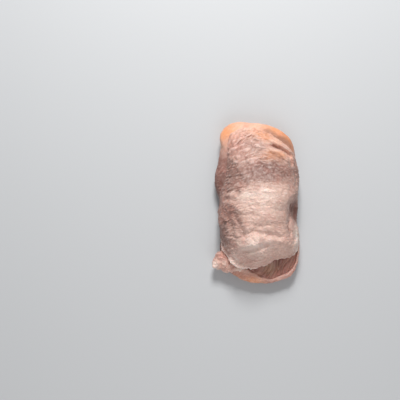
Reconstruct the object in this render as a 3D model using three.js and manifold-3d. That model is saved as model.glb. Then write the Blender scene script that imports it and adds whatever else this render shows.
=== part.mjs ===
// Raw boneless chicken leg quarter, skin on, folded in two: the thigh half lies skin up on the
// drumstick half. Millimetres, +Z up, +Y towards the fold and -Y towards the cut end, origin on the
// surface that it lies on, under the middle of the piece. Two solids: the skin with its fat layer,
// and the meat that it wraps.
import * as THREE from "three";
import Module from "manifold-3d";
import { mergeVertices } from "three/addons/utils/BufferGeometryUtils.js";

// Driving dimensions.
const legLength = 123.4;
const legWidth = 66.8;
const crownHeight = 38.9;
const skinThickness = 2.4; // skin and the fat under it
const skinToMeat = 0.35;
const edgeWave = 0.9; // raggedness of the cut skin edges

// Edge of the folded-over thigh half, seen from above, anticlockwise from its right side.
const thighEdge = [
  [27.6, -3], [31.4, 7], [32, 18], [30.4, 29], [27.6, 38], [22, 44.2], [14.4, 49.6], [5, 54],
  [-4, 57], [-13, 56.8], [-21, 51.6], [-23.4, 44], [-23, 34], [-23.6, 24], [-26.6, 13.4],
  [-28.8, 3], [-28.8, -12], [-28, -28], [-23.6, -39.5], [-14.5, -48.2], [0, -48.9], [9, -45.4],
  [15.5, -41.4], [24, -39.6], [30.4, -34.6], [31.8, -26], [30.4, -17], [27, -10],
];
// Edge of the drumstick half under it, from above, in the same order.
const drumstickEdge = [
  [30.6, -4], [30.2, 8], [30, 20], [29.6, 33], [27.4, 45.4], [22.6, 52], [15.4, 57], [5, 60.2],
  [-6, 61.2], [-16.4, 61.2], [-24.2, 57.8], [-28, 51.4], [-27.8, 41.6], [-30, 29], [-31.8, 18],
  [-30.6, 9.6], [-27.8, 2], [-26.6, -14], [-27.2, -30], [-27.6, -42], [-22.6, -51.2],
  [-11, -58.4], [2, -61.4], [14, -60.2], [25.6, -55.6], [31.6, -47], [33.2, -36], [32.2, -24],
  [30.6, -13],
];

// Each half is a rounded pad: a squarish dome over a squarish bowl that meet at its edge height.
const thigh = { edge: thighEdge, squareness: 2.5 };
const drumstick = { edge: drumstickEdge, squareness: 2.4 };

// Heights of the drumstick half: the middle of its top, how much higher it is at the fold, how deep
// it is dished at the cut end, its edge, and its underside before it is settled flat.
const drumstickHeight = { top: 19, fold: 1.6, dish: 4.6, edge: 8.6, edgeAtFold: 1.6, underside: -3.4 };

// Heights of the thigh half's edge at its sides, and how much higher it is at the cut end and fold.
const thighEdgeZ = { side: 11, cutEnd: 4.5, fold: 5.5 };
const thighUndersideZ = 9.5; // sunk into the drumstick half, so that the meat is one piece

// Folds and creases of the skin: a centre line, its height (negative for a crease) and its spread.
const folds = [
  // the raised roll along the cut end, the crease over it and the one in it
  { line: [[-18, -33], [-10, -27], [-1.4, -24], [7.5, -23.2], [16.4, -24], [24.6, -29.5]],
    height: 1.4, spread: 3.8 },
  { line: [[-15, -29], [-9.4, -24], [-2, -20.4], [6.7, -20], [15.7, -20.8], [21.2, -22.4]],
    height: -1.9, spread: 2.7 },
  { line: [[-18.6, -36.2], [-9.8, -34.9], [-1.2, -31.7], [4.6, -29.9]], height: -1.1, spread: 2.5 },
  // the crease that runs down the left, and the one down the right with the tab's ridge beside it
  { line: [[-20.4, -3], [-17, -10], [-13.4, -17], [-9, -28]], height: -1.2, spread: 2.6 },
  { line: [[22.6, 7], [24.4, 1], [24.2, -9], [22.7, -17], [24.8, -28]], height: -2.3, spread: 2.4 },
  { line: [[29.4, -14], [30.4, -19], [30.2, -25], [28.6, -31]], height: 1.2, spread: 2.2 },
  // the pinched skin at the right shoulder: fold, crease, fold, crease
  { line: [[2, 51.8], [9.5, 50.6], [17.4, 46], [21.6, 44], [28, 37]], height: 2.3, spread: 2.4 },
  { line: [[8.6, 45.2], [12.8, 42.9], [18, 41.4], [22.7, 39.2], [30, 33]], height: -2.4, spread: 2.2 },
  { line: [[5, 44], [10.5, 40.9], [15.6, 38.4], [24.8, 29.5]], height: 1.4, spread: 2.2 },
  { line: [[20.6, 39.2], [23.2, 37], [25, 33.4], [27, 28.4]], height: -1.8, spread: 2 },
  // shallow ones across the top
  { line: [[-19.6, 46], [-14, 49], [-6, 50.2], [2, 48.8], [9, 46]], height: -1, spread: 2 },
  { line: [[-26, 7.4], [-20, 8.4], [-13, 8.6]], height: -1.2, spread: 2.2 },
  { line: [[-19, -7], [-9, -8.8], [2.2, -9.6]], height: -0.9, spread: 2.6 },
];

// Corner of loose skin at the cut end's left: its middle, half its size and how lumpy it is.
const cornerCentre = [-21.4, -45, 8.6];
const cornerHalf = [11.6, 7.8, 5.6];
const cornerTurn = -8; // degrees
const cornerLumps = 0.07;

// Grid cells across and along; the hidden side of the thigh's skin has half as many.
const thighCells = [32, 52];
const drumstickCells = [18, 28];
const meatCells = [12, 20];
const cornerCells = [18, 12];

const flattening = 1.2; // how far the rounded underside blends into its flat resting area
const smallestDetail = 0.04; // slivers under this are merged away
const climbPerMm = 0.3; // how much further round a pad, in radians, clearance goes per millimetre
const weld = 1e-3; // corners closer than this are one corner

const bump = (distance, spread) => Math.exp(-((distance / spread) ** 2));

const smoothStep = (low, high, value) => {
  const t = Math.min(1, Math.max(0, (value - low) / (high - low)));
  return t * t * (3 - 2 * t);
};

// Bump around one direction, for turns in radians.
const turnBump = (turn, centre, spread) =>
  bump(Math.atan2(Math.sin(turn - centre), Math.cos(turn - centre)), spread);

// Shortest distance from a point to a line of segments.
function distanceToLine([x, y], line) {
  let best = Infinity;
  for (let i = 1; i < line.length; i++) {
    const [x0, y0] = line[i - 1];
    const [dx, dy] = [line[i][0] - x0, line[i][1] - y0];
    const t = Math.min(1, Math.max(0, ((x - x0) * dx + (y - y0) * dy) / (dx * dx + dy * dy)));
    best = Math.min(best, Math.hypot(x - x0 - t * dx, y - y0 - t * dy));
  }
  return best;
}

// Height that the folds add to the thigh's skin at a point seen from above.
function foldRelief(x, y) {
  const heightOf = ({ line, height, spread }) => height * bump(distanceToLine([x, y], line), spread);
  return folds.reduce((sum, fold) => sum + heightOf(fold), 0);
}

// Top of the thigh half: highest behind the middle, lower at the fold and the left, with a shallow
// saddle, a raised roll at the cut end, a hollow where the right side tucks in and a thick tab of
// skin in front of it.
function thighTop(x, y) {
  const alongCrown = crownHeight - 0.0036 * (y + 4) ** 2;
  const across = -0.0062 * (x - 5) ** 2;
  const saddle = -1.6 * bump(y - 25, 10);
  const roll = 1.8 * bump(y + 30 + 0.12 * x, 9);
  const hollow = -9 * bump(Math.hypot((x - 29) / 4.6, (y + 7) / 8), 1);
  const tab = -3 * bump(Math.hypot((x - 30) / 4.4, (y + 26) / 10), 1);
  return alongCrown + across + saddle + roll + hollow + tab;
}

// The thigh's edge hangs low at the sides and stands higher at the fold and at the cut end.
function thighEdgeHeight(turn) {
  const cutEnd = thighEdgeZ.cutEnd * smoothStep(0.35, 0.85, -Math.sin(turn));
  const fold = thighEdgeZ.fold * smoothStep(0.3, 0.9, Math.sin(turn));
  return thighEdgeZ.side + cutEnd + fold;
}

// Top of the drumstick half: round at the fold, dished at the cut end where the meat lies open.
function drumstickTop(x, y) {
  const fold = drumstickHeight.fold * smoothStep(35, 52, y);
  const dish = drumstickHeight.dish * smoothStep(-30, -50, y);
  return drumstickHeight.top + fold - dish;
}

const drumstickEdgeHeight = (turn) =>
  drumstickHeight.edge + drumstickHeight.edgeAtFold * Math.max(0, Math.sin(turn));

Object.assign(thigh, {
  top: thighTop,
  underside: thighUndersideZ,
  edgeHeight: thighEdgeHeight,
  relief: foldRelief,
});
Object.assign(drumstick, {
  top: drumstickTop,
  underside: drumstickHeight.underside,
  edgeHeight: drumstickEdgeHeight,
  relief: () => 0,
});

// Reach of a closed smooth edge in each direction, as a share of the half length and half width.
function edgeReach(edge) {
  const corners = edge.map(([x, y]) => new THREE.Vector3(x, y, 0));
  const curve = new THREE.CatmullRomCurve3(corners, true, "catmullrom", 0.5);
  const samples = curve.getPoints(edge.length * 24).slice(0, -1).map((p) => ({
    turn: Math.atan2(p.y / (legLength / 2), p.x / (legWidth / 2)),
    reach: Math.hypot(p.x / (legWidth / 2), p.y / (legLength / 2)),
  }));
  samples.sort((a, b) => a.turn - b.turn);
  return (turn) => {
    const wrapped = Math.atan2(Math.sin(turn), Math.cos(turn));
    let i = samples.findIndex((s) => s.turn > wrapped);
    if (i < 0) i = 0;
    const after = samples[i];
    const before = samples[(i + samples.length - 1) % samples.length];
    const span = (after.turn - before.turn + 2 * Math.PI) % (2 * Math.PI);
    const part = (wrapped - before.turn + 2 * Math.PI) % (2 * Math.PI);
    return before.reach + (after.reach - before.reach) * (span > 0 ? part / span : 0);
  };
}
for (const pad of [thigh, drumstick]) pad.reach = edgeReach(pad.edge);

// A height that runs smoothly onto the flat resting plane and never goes below it.
function restOn(plane, z) {
  const over = z - plane;
  if (over <= -flattening) return plane;
  if (over >= flattening) return z;
  return plane + (over + flattening) ** 2 / (4 * flattening);
}

// A point of a pad's surface. Turn goes round it, and climb goes from 0 under its middle over pi/2
// at its edge to pi on top. Inset moves the point inwards, sideways at the edge and up or down away
// from it.
function padPoint(pad, turn, climb, inset, edgeInset = 0) {
  const power = 2 / pad.squareness;
  const out = Math.sin(climb) ** power;
  const rise = Math.abs(Math.cos(climb)) ** power;
  const reach = pad.reach(turn);
  const side = inset + edgeInset;
  const x = Math.cos(turn) * (reach * (legWidth / 2) - side) * out;
  const y = Math.sin(turn) * (reach * (legLength / 2) - side) * out;
  const edgeZ = pad.edgeHeight(turn);
  const level = inset * Math.min(1, 3 * rise);
  if (climb <= Math.PI / 2) {
    return [x, y, restOn(inset, edgeZ + (pad.underside - edgeZ) * rise + level)];
  }
  const relief = pad.relief(x, y) * (1 - inset / (2 * skinThickness)) * rise;
  return [x, y, edgeZ + (pad.top(x, y) - edgeZ) * rise - level + relief];
}

// Maps a square cell corner onto the unit disc: how far out it lies, and its turn.
function squareToDisc(a, b) {
  if (a === 0 && b === 0) return [0, 0];
  if (Math.abs(a) > Math.abs(b)) {
    return [Math.abs(a), (Math.PI / 4) * (b / a) + (a < 0 ? Math.PI : 0)];
  }
  return [Math.abs(b), Math.PI / 2 - (Math.PI / 4) * (a / b) + (b < 0 ? Math.PI : 0)];
}

// Grid of points over a disc; at() gives the point for how far out and which way.
function discGrid([across, along], at) {
  const rows = [];
  for (let j = 0; j <= along; j++) {
    const row = [];
    for (let i = 0; i <= across; i++) {
      row.push(at(...squareToDisc((2 * i) / across - 1, (2 * j) / along - 1)));
    }
    rows.push(row);
  }
  return rows;
}

// Triangles of a grid, facing up, or down when flipped.
function gridTriangles(grid, flipped) {
  const triangles = [];
  for (let j = 1; j < grid.length; j++) {
    for (let i = 1; i < grid[0].length; i++) {
      const [a, b, c, d] = [grid[j - 1][i - 1], grid[j - 1][i], grid[j][i], grid[j][i - 1]];
      const rising = (i * 2 < grid[0].length) === (j * 2 < grid.length);
      const halves = rising ? [[a, b, c], [a, c, d]] : [[a, b, d], [b, c, d]];
      for (const [p, q, r] of halves) triangles.push(flipped ? [p, r, q] : [p, q, r]);
    }
  }
  return triangles;
}

// The border of a grid, anticlockwise seen from above.
function gridBorder(grid) {
  const [last, end] = [grid.length - 1, grid[0].length - 1];
  const border = [];
  for (let i = 0; i < end; i++) border.push(grid[0][i]);
  for (let j = 0; j < last; j++) border.push(grid[j][end]);
  for (let i = end; i > 0; i--) border.push(grid[last][i]);
  for (let j = last; j > 0; j--) border.push(grid[j][0]);
  return border;
}

// Strip of triangles between an upper border and a lower one with as many points or half as many.
function borderStrip(upper, lower) {
  const triangles = [];
  const fine = Math.max(upper.length, lower.length);
  const pick = (border, k) => border[Math.floor((k * border.length) / fine + weld) % border.length];
  for (let k = 0; k < fine; k++) {
    const [u0, u1] = [pick(upper, k), pick(upper, k + 1)];
    const [l0, l1] = [pick(lower, k), pick(lower, k + 1)];
    if (u0 !== u1) triangles.push([u0, l0, u1]);
    if (l0 !== l1) triangles.push([u1, l0, l1]);
  }
  return triangles;
}

// A geometry with shared corners merged and empty triangles dropped.
function welded(loose) {
  const merged = mergeVertices(loose, weld);
  const index = [];
  for (let i = 0; i < merged.index.count; i += 3) {
    const [a, b, c] = [0, 1, 2].map((k) => merged.index.getX(i + k));
    if (a !== b && b !== c && c !== a) index.push(a, b, c);
  }
  merged.setIndex(index);
  return merged;
}

// Closed body between an upper grid and a lower grid.
function bodyBetween(upper, lower) {
  const triangles = [
    ...gridTriangles(upper, false),
    ...gridTriangles(lower, true),
    ...borderStrip(gridBorder(upper), gridBorder(lower)),
  ];
  const body = new THREE.BufferGeometry();
  body.setAttribute("position", new THREE.BufferAttribute(new Float32Array(triangles.flat(2)), 3));
  return body;
}

// How far down the thigh's skin comes: it stops at the cut end, where it hangs free, and tucks in
// at the other sides.
const thighSkinStop = (turn) => {
  const cutEnd = smoothStep(0.2, 0.75, -Math.sin(turn));
  const wave = edgeWave * 0.02 * (Math.sin(9 * turn) + 0.6 * Math.sin(17 * turn + 1));
  return Math.PI * (0.4 + 0.085 * cutEnd) + wave * cutEnd;
};

// How far up the drumstick's skin comes: just past its edge round the cut end and the right side,
// where it makes a rim round the open meat, over the end in a lobe of fat at the left of the cut
// end, and well over the top at the fold and the left, under the thigh.
const drumstickSkinStop = (turn) => {
  const fold = smoothStep(0.15, 0.6, Math.sin(turn));
  const left = smoothStep(-0.2, 0.5, -Math.cos(turn) + 0.35 * Math.sin(turn));
  const lobe = 0.19 * turnBump(turn, -1.86, 0.42) + 0.05 * turnBump(turn, -1.1, 0.2);
  const wave = edgeWave * 0.03 * (Math.sin(7 * turn + 2) + 0.5 * Math.sin(15 * turn));
  return Math.PI * (0.565 + Math.max(0.27 * fold, 0.27 * left, lobe)) + wave;
};

// Skin of the thigh half, a dome-shaped sheet; spare thickens it on both faces and lengthens its
// edge.
function thighSkin(spare) {
  const climb = (out, turn) => Math.PI + (thighSkinStop(turn) - spare * climbPerMm - Math.PI) * out;
  const at = (inset) => (out, turn) => padPoint(thigh, turn, climb(out, turn), inset);
  const hiddenCells = thighCells.map((cells) => cells / 2);
  return bodyBetween(discGrid(thighCells, at(-spare)), discGrid(hiddenCells, at(skinThickness + spare)));
}

// Skin of the drumstick half, a bowl-shaped sheet with its rim turned in.
function drumstickSkin(spare) {
  const climb = (out, turn) => (drumstickSkinStop(turn) + spare * climbPerMm) * out;
  const at = (inset) => (out, turn) => padPoint(drumstick, turn, climb(out, turn), inset);
  return bodyBetween(
    discGrid(drumstickCells, at(skinThickness + spare)),
    discGrid(drumstickCells, at(-spare)),
  );
}

// Closed pad of meat inside a half's skin. Short says how far it stays back from the skin's edge.
function meatPad(pad, short) {
  const inset = skinThickness + 2 * skinToMeat;
  const climb = (from, out) => from + (Math.PI / 2 - from) * out;
  const at = (from) => (out, turn) => padPoint(pad, turn, climb(from, out), inset, short(turn));
  return bodyBetween(discGrid(meatCells, at(Math.PI)), discGrid(meatCells, at(0)));
}

// Corner of loose skin at the cut end's left, a lumpy flattened bag that lies over the drumstick's
// rim. Spare makes it larger all round.
function skinCorner(spare) {
  const bag = new THREE.SphereGeometry(1, ...cornerCells);
  const points = bag.getAttribute("position");
  for (let i = 0; i < points.count; i++) {
    const [x, y, z] = [points.getX(i), points.getY(i), points.getZ(i)];
    const lumps = Math.sin(6 * x + 2) * Math.cos(4 * y + 0.5) + 0.5 * Math.sin(7 * z + 3 * x);
    const size = 1 + cornerLumps * lumps;
    points.setXYZ(i, x * size, y * size, z * size);
  }
  bag.scale(...cornerHalf.map((half) => half + spare));
  bag.rotateZ(THREE.MathUtils.degToRad(cornerTurn));
  bag.translate(...cornerCentre);
  return bag;
}

const wasm = await Module();
wasm.setup();

function toSolid(geometry) {
  const bare = geometry.clone();
  bare.deleteAttribute("normal");
  bare.deleteAttribute("uv");
  const { attributes, index } = welded(bare);
  const vertProperties = attributes.position.array;
  return new wasm.Manifold(
    new wasm.Mesh({ numProp: 3, vertProperties, triVerts: new Uint32Array(index.array) }),
  );
}

// The largest body of a solid, without loose scraps and with slivers merged away.
function largest(solid) {
  const larger = (best, other) => (other.volume() > best.volume() ? other : best);
  return solid.decompose().reduce(larger).asOriginal().simplify(smallestDetail);
}

function toGeometry(solid) {
  const mesh = solid.getMesh();
  const geometry = new THREE.BufferGeometry();
  geometry.setAttribute("position", new THREE.BufferAttribute(mesh.vertProperties, 3));
  geometry.setIndex(new THREE.BufferAttribute(mesh.triVerts, 1));
  geometry.computeVertexNormals();
  return geometry;
}

function skinSolid(spare) {
  const sheets = toSolid(thighSkin(spare)).add(toSolid(drumstickSkin(spare)));
  return sheets.add(toSolid(skinCorner(2 * spare)));
}

// The meat of both halves as one piece, set back from the thigh's skin edge at the cut end, with
// room cut for the skin.
function meatSolid() {
  const thighShort = (turn) => 3.4 * smoothStep(0.3, 0.8, -Math.sin(turn)) + 0.6;
  const drumstickShort = () => 0.4;
  const whole = toSolid(meatPad(thigh, thighShort)).add(toSolid(meatPad(drumstick, drumstickShort)));
  return largest(whole.subtract(skinSolid(skinToMeat)));
}

const skinFinish = new THREE.MeshStandardMaterial({ color: 0xd6b4a4, roughness: 0.42 });
const meatFinish = new THREE.MeshStandardMaterial({ color: 0x8f4f47, roughness: 0.38 });

function named(name, geometry, material) {
  const mesh = new THREE.Mesh(geometry, material);
  mesh.name = name;
  return mesh;
}

const skin = toGeometry(largest(skinSolid(0)));
const meat = toGeometry(meatSolid());

// The origin goes under the middle of the whole, on the resting plane.
skin.computeBoundingBox();
const { min, max } = skin.boundingBox;
for (const geometry of [skin, meat]) {
  geometry.translate(-(min.x + max.x) / 2, -(min.y + max.y) / 2, -min.z);
}

const legQuarter = new THREE.Group();
legQuarter.add(named("skin", skin, skinFinish));
legQuarter.add(named("meat", meat, meatFinish));

export default legQuarter;
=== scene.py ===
import math
from itertools import product

import bpy
import numpy as np
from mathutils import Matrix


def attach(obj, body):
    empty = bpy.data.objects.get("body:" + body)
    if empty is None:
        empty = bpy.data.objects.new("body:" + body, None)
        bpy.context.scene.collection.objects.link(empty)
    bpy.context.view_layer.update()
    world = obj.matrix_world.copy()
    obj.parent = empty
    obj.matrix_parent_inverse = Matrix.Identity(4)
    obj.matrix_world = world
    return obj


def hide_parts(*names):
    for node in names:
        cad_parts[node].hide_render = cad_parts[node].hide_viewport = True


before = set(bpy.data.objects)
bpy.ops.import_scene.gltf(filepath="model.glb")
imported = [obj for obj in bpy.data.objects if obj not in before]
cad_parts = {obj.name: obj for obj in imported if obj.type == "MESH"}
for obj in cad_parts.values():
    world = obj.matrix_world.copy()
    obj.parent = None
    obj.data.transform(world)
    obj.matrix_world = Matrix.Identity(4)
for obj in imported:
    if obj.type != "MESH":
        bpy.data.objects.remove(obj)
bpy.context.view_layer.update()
metre = 0.001  # one millimetre
print("stage: frame loaded")


# Camera and light

camera = {
    "photoSide": 400,  # pixels
    "mmPerPixel": 0.76,  # at the height of the piece's outline
    "originPixel": (256.7, 203.2),  # where the frame's origin lies in the photograph
    "height": 0.70,  # metres over the table
    "outlineHeight": 0.012,
    "sensor": 36.0,
}
lights = {
    "key": {"at": (-0.02, 0.57, 0.56), "side": 0.22, "watts": 6.2, "colour": (1.0, 0.985, 0.96)},
    "fill": {"at": (0.05, -0.60, 0.58), "side": 0.70, "watts": 2.2, "colour": (1.0, 0.975, 0.96)},
    "sky": 0.27,
    "horizon": 0.62,  # how pale the air beyond the table looks
    "floor": (0.558, 0.578, 0.604),
    "farGlow": (0.42, 0.43, 0.44),  # what the table gains far off, where the lamps don't reach
    "farReach": (0.35, 1.5),  # metres from the middle where that starts and is full
}


# Straight down over the middle of the photograph: how far the origin is from that middle, in pixels
# times millimetres per pixel, and a lens whose width of view at the outline is the picture's width.
def makeCamera(c):
    half = c["photoSide"] / 2
    x = (half - c["originPixel"][0]) * c["mmPerPixel"] * metre
    y = (c["originPixel"][1] - half) * c["mmPerPixel"] * metre
    width = c["photoSide"] * c["mmPerPixel"] * metre
    data = bpy.data.cameras.new("camera")
    data.sensor_width = c["sensor"]
    data.lens = c["sensor"] * (c["height"] - c["outlineHeight"]) / width
    data.clip_start = 0.01
    cam = bpy.data.objects.new("camera", data)
    cam.location = (x, y, c["height"])
    bpy.context.scene.collection.objects.link(cam)
    bpy.context.scene.camera = cam


def makeLight(name, settings, target):
    data = bpy.data.lights.new(name, "AREA")
    data.shape = "SQUARE"
    data.size = settings["side"]
    data.energy = settings["watts"]
    data.color = settings["colour"]
    lamp = bpy.data.objects.new(name, data)
    lamp.location = settings["at"]
    aim = np.array(target) - np.array(settings["at"])
    yaw = math.atan2(aim[1], aim[0])
    pitch = math.atan2(math.hypot(aim[0], aim[1]), -aim[2])
    lamp.rotation_euler = (pitch, 0.0, yaw - math.pi / 2)
    bpy.context.scene.collection.objects.link(lamp)


def makeStudio(s):
    makeLight("keyLight", s["key"], (0, 0, 0.02))
    makeLight("fillLight", s["fill"], (0, 0, 0.02))
    world = bpy.data.worlds.new("studio")
    world.use_nodes = True
    sky = world.node_tree.nodes["Background"]
    sky.inputs["Color"].default_value = (1.0, 0.985, 0.97, 1.0)
    sky.inputs["Strength"].default_value = s["sky"]
    paleSky = world.node_tree.nodes.new("ShaderNodeBackground")
    paleSky.inputs["Strength"].default_value = s["horizon"]
    path = world.node_tree.nodes.new("ShaderNodeLightPath")
    choice = world.node_tree.nodes.new("ShaderNodeMixShader")
    world.node_tree.links.new(path.outputs["Is Camera Ray"], choice.inputs[0])
    world.node_tree.links.new(sky.outputs[0], choice.inputs[1])
    world.node_tree.links.new(paleSky.outputs[0], choice.inputs[2])
    world.node_tree.links.new(choice.outputs[0], world.node_tree.nodes["World Output"].inputs[0])
    bpy.context.scene.world = world
    bpy.context.scene.view_settings.view_transform = "Standard"
    mesh = bpy.data.meshes.new("table")
    mesh.from_pydata([(-3, -3, 0), (3, -3, 0), (3, 3, 0), (-3, 3, 0)], [], [(0, 1, 2, 3)])
    table = bpy.data.objects.new("table", mesh)
    bpy.context.scene.collection.objects.link(table)
    paint = bpy.data.materials.new("palePaint")
    paint.use_nodes = True
    shader = paint.node_tree.nodes["Principled BSDF"]
    shader.inputs["Base Color"].default_value = (*s["floor"], 1.0)
    shader.inputs["Roughness"].default_value = 0.6
    spread = addNode(paint.node_tree, "ShaderNodeTexCoord", {}).outputs["Object"]
    away = addNode(paint.node_tree, "ShaderNodeVectorMath", {0: spread}, operation="LENGTH")
    ranges = {"Value": away.outputs["Value"], "From Min": s["farReach"][0], "From Max": s["farReach"][1]}
    far = addNode(paint.node_tree, "ShaderNodeMapRange", ranges, interpolation_type="SMOOTHSTEP")
    glow = mixColours(paint.node_tree, far.outputs["Result"], (0, 0, 0, 1), (*s["farGlow"], 1.0))
    paint.node_tree.links.new(glow, shader.inputs["Emission Color"])
    shader.inputs["Emission Strength"].default_value = 1.0
    mesh.materials.append(paint)


# Numbers that vary smoothly or at random over space


# Scrambles three whole numbers and a seed into a number from 0 to 1.
def scramble(cells, seed):
    mixed = cells[..., 0] * 374761393 + cells[..., 1] * 668265263 + cells[..., 2] * 1440662683
    mixed = (mixed + seed * 982451653) & 0xFFFFFFFF
    mixed = ((mixed ^ (mixed >> 13)) * 1274126177) & 0xFFFFFFFF
    mixed = ((mixed ^ (mixed >> 16)) * 668265263) & 0xFFFFFFFF
    return ((mixed >> 8) & 0xFFFF) / 65535.0


# Smooth noise, mostly from -1 to 1: at each corner of a cell a random slope, blended by a smooth
# step. The cells are turned, so that nothing lines up with the leg.
cellTurn = np.array([[0.36, 0.48, -0.8], [-0.8, 0.6, 0.0], [0.48, 0.64, 0.6]])
slopes = np.array([s for s in product((-1, 0, 1), repeat=3) if sum(map(abs, s)) == 2], float)


def softNoise(points, cell, seed):
    scaled = points @ cellTurn.T / cell + 0.37 * seed
    base = np.floor(scaled).astype(np.int64)
    part = scaled - base
    blend = part**3 * (part * (part * 6 - 15) + 10)
    total = np.zeros(points.shape[:-1])
    for corner in product((0, 1), repeat=3):
        step = np.array(corner)
        weight = np.prod(np.where(step == 1, blend, 1 - blend), axis=-1)
        pick = (scramble(base + step, seed) * (len(slopes) - 0.001)).astype(np.int64)
        total += weight * np.sum(slopes[pick] * (part - step), axis=-1)
    return total * 1.35


# Soft noise plus finer and weaker copies of itself.
def layeredNoise(points, cell, seed, layers=3):
    parts = [softNoise(points, cell * 0.5**k, seed + 7 * k) * 0.5**k for k in range(layers)]
    return sum(parts) / sum(0.5**k for k in range(layers))


# Distance to the nearest of one jittered point in each cell, and how much further the second is,
# both in cells.
def pebbles(points, cell, seed):
    scaled = points @ cellTurn.T / cell
    base = np.floor(scaled).astype(np.int64)
    nearest = np.full(points.shape[:-1], 9.0)
    second = np.full(points.shape[:-1], 9.0)
    for corner in product((-1, 0, 1), repeat=3):
        home = base + np.array(corner)
        jitter = np.stack([scramble(home, seed + k) for k in range(3)], axis=-1)
        away = np.linalg.norm(home + 0.1 + 0.8 * jitter - scaled, axis=-1)
        second = np.minimum(second, np.maximum(nearest, away))
        nearest = np.minimum(nearest, away)
    return nearest, second - nearest


def smoothStep(low, high, value):
    part = np.clip((value - low) / (high - low), 0, 1)
    return part * part * (3 - 2 * part)


def bump(distance, spread):
    return np.exp(-((distance / spread) ** 2))


# Bump around one direction, for turns in radians.
def turnBump(turn, centre, spread):
    return bump(np.arctan2(np.sin(turn - centre), np.cos(turn - centre)), spread)


# A soft spot seen from above: 1 in its middle, falling off over its two half sizes.
def spot(x, y, at, half):
    return np.exp(-(((x - at[0]) / half[0]) ** 2) - ((y - at[1]) / half[1]) ** 2)


# Points along cubic pieces from here to after, whose tangents are half the step between neighbours.
def cubicPieces(before, here, after, beyond, steps):
    t = np.linspace(0, 1, steps, endpoint=False)[:, None, None]
    curve = 0.5 * (
        2 * here
        + (after - before) * t
        + (2 * before - 5 * here + 4 * after - beyond) * t**2
        + (3 * here - before - 3 * after + beyond) * t**3
    )
    return curve.transpose(1, 0, 2).reshape(-1, 2)


# Points along a smooth curve through a line's points, six to a segment.
def smoothLine(line):
    points = np.array(line, float)
    padded = np.concatenate([2 * points[:1] - points[1:2], points, 2 * points[-1:] - points[-2:-1]])
    curve = cubicPieces(padded[:-3], padded[1:-2], padded[2:-1], padded[3:], 6)
    return np.concatenate([curve, points[-1:]])


# Shortest distance seen from above to a smooth line, and how far along it the nearest place is, 0
# to 1.
def lineDistance(x, y, line):
    curve = smoothLine(line)
    best = np.full(x.shape, 1e9)
    along = np.zeros(x.shape)
    for k, ((x0, y0), (x1, y1)) in enumerate(zip(curve[:-1], curve[1:])):
        dx, dy = x1 - x0, y1 - y0
        part = np.clip(((x - x0) * dx + (y - y0) * dy) / (dx * dx + dy * dy), 0, 1)
        away = np.hypot(x - x0 - part * dx, y - y0 - part * dy)
        along = np.where(away < best, (k + part) / (len(curve) - 1), along)
        best = np.minimum(best, away)
    return best, along


# The two halves as rounded pads: a squarish dome over a squarish bowl that meet at an edge


leg = {"length": 123.4, "width": 66.8, "skin": 2.4, "settle": 1.2}
thigh = {
    "edge": [
        (27.6, -3), (31.4, 7), (32, 18), (30.4, 29), (27.6, 38), (22, 44.2), (14.4, 49.6), (5, 54),
        (-4, 57), (-13, 56.8), (-21, 51.6), (-23.4, 44), (-23, 34), (-23.6, 24), (-26.6, 13.4),
        (-28.8, 3), (-28.8, -12), (-27.4, -26), (-24.8, -34.2), (-21.4, -39.4), (-16.8, -44.2),
        (-9.4, -46.8), (0, -47.4), (9, -44.6), (15.5, -41.4), (24, -39.6), (30.4, -34.6),
        (31.8, -26), (30.4, -17), (27, -10),
    ],
    "squareness": 2.5,
    "rounder": (0.25, 0.55),  # how much less square it is at the fold and at its left
    "crown": 38.9,
    "underside": 9.5,
    "edgeSide": 11.0,
    "edgeCutEnd": 4.5,
    "edgeFold": 5.5,
}
drumstick = {
    "edge": [
        (31.7, -4), (31, 8), (30, 20), (29.6, 33), (27.4, 45.4), (22.6, 52), (15.4, 57), (5, 60.2),
        (-6, 61.2), (-16.4, 61.2), (-24.2, 57.8), (-28, 51.4), (-27.8, 41.6), (-30, 29), (-31.8, 18),
        (-30.6, 9.6), (-27.8, 2), (-26.6, -14), (-27.2, -30), (-27.6, -42), (-22.6, -51.2),
        (-11, -58.4), (2, -61.4), (14, -60.2), (25.6, -55.6), (31.6, -47), (33.2, -36), (32.2, -24),
        (30.9, -13),
    ],
    "squareness": 2.4,
    "top": 19.0,
    "fold": 1.6,
    "dish": 4.6,
    "edgeHeight": 8.6,
    "edgeAtFold": 1.6,
    "underside": -3.4,
}


# Reach of a closed smooth edge in each direction, as a share of the half length and half width.
def edgeReach(edge):
    points = np.array(edge, float)
    before, after, beyond = (np.roll(points, k, axis=0) for k in (1, -1, -2))
    curve = cubicPieces(before, points, after, beyond, 24)
    x, y = curve[:, 0] / (leg["width"] / 2), curve[:, 1] / (leg["length"] / 2)
    turns, reaches = np.arctan2(y, x), np.hypot(x, y)
    order = np.argsort(turns)
    turns, reaches = turns[order], reaches[order]
    return lambda turn: np.interp(
        np.arctan2(np.sin(turn), np.cos(turn)), turns, reaches, period=2 * math.pi
    )


def thighTop(x, y):
    crown = thigh["crown"] - 0.0036 * (y + 4) ** 2 - 0.0062 * (x - 5) ** 2
    saddle = -1.6 * bump(y - 25, 10)
    roll = 1.8 * bump(y + 30 + 0.12 * x, 9)
    hollow = -9 * bump(np.hypot((x - 29) / 4.6, (y + 7) / 8), 1)
    tab = -3 * bump(np.hypot((x - 30) / 4.4, (y + 26) / 10), 1)
    return crown + saddle + roll + hollow + tab


def thighEdgeHeight(turn):
    cutEnd = thigh["edgeCutEnd"] * smoothStep(0.35, 0.85, -np.sin(turn))
    fold = thigh["edgeFold"] * smoothStep(0.3, 0.9, np.sin(turn))
    return thigh["edgeSide"] + cutEnd + fold


def drumstickTop(x, y):
    fold = drumstick["fold"] * smoothStep(35, 52, y)
    dish = drumstick["dish"] * smoothStep(-30, -50, y)
    return drumstick["top"] + fold - dish


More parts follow.
